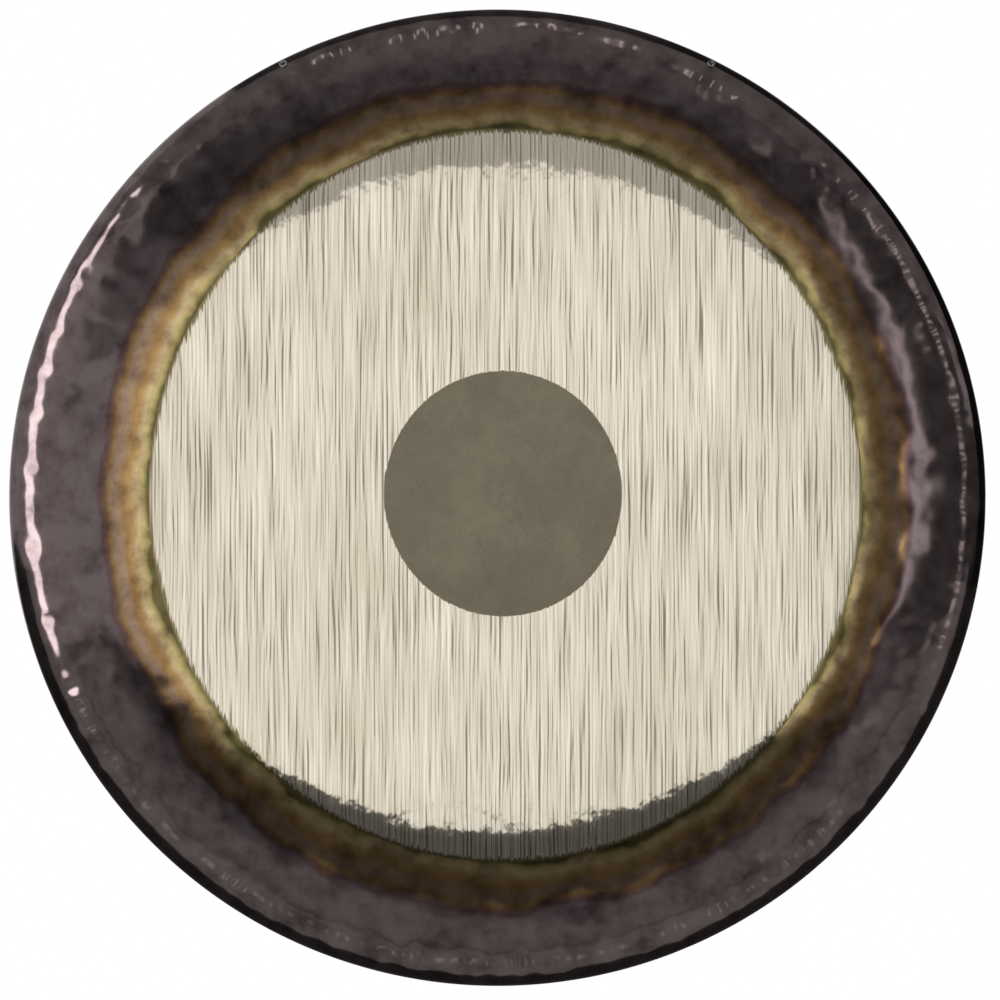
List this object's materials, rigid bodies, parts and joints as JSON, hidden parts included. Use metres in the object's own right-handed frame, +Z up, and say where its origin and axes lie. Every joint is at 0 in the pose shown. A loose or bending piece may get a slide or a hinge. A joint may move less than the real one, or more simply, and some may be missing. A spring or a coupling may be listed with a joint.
{
  "type": "symphonic gong",
  "caption": "Large hanging gong: one thin metal sheet with a brushed middle, a plain centre disc, a heat-tinted shoulder and a turned-back rim with lined cord holes near the top.",
  "frame": {"origin": "the middle of the straight line between the two cord holes, at the outside of the sheet, where the gong is held; the gong's centre is 360 mm below it", "axes": "+Z up as the gong hangs, +Y along the gong's axis from the playing face to the open back, +X to the right as a player sees the face"},
  "size_m": [0.8128, 0.0644, 0.8128],
  "materials": {
    "nickel_silver": "hammered nickel silver: dark oxide at the rim, heat tints on the shoulder, brushed bright in the middle round a plain oxidised disc",
    "nickel_plate": "nickel plated, slightly worn"
  },
  "bodies": {
    "root": {"gong_body": "nickel_silver", "suspension_eyelet_left": "nickel_plate", "suspension_eyelet_right": "nickel_plate"}
  },
  "joints": []
}
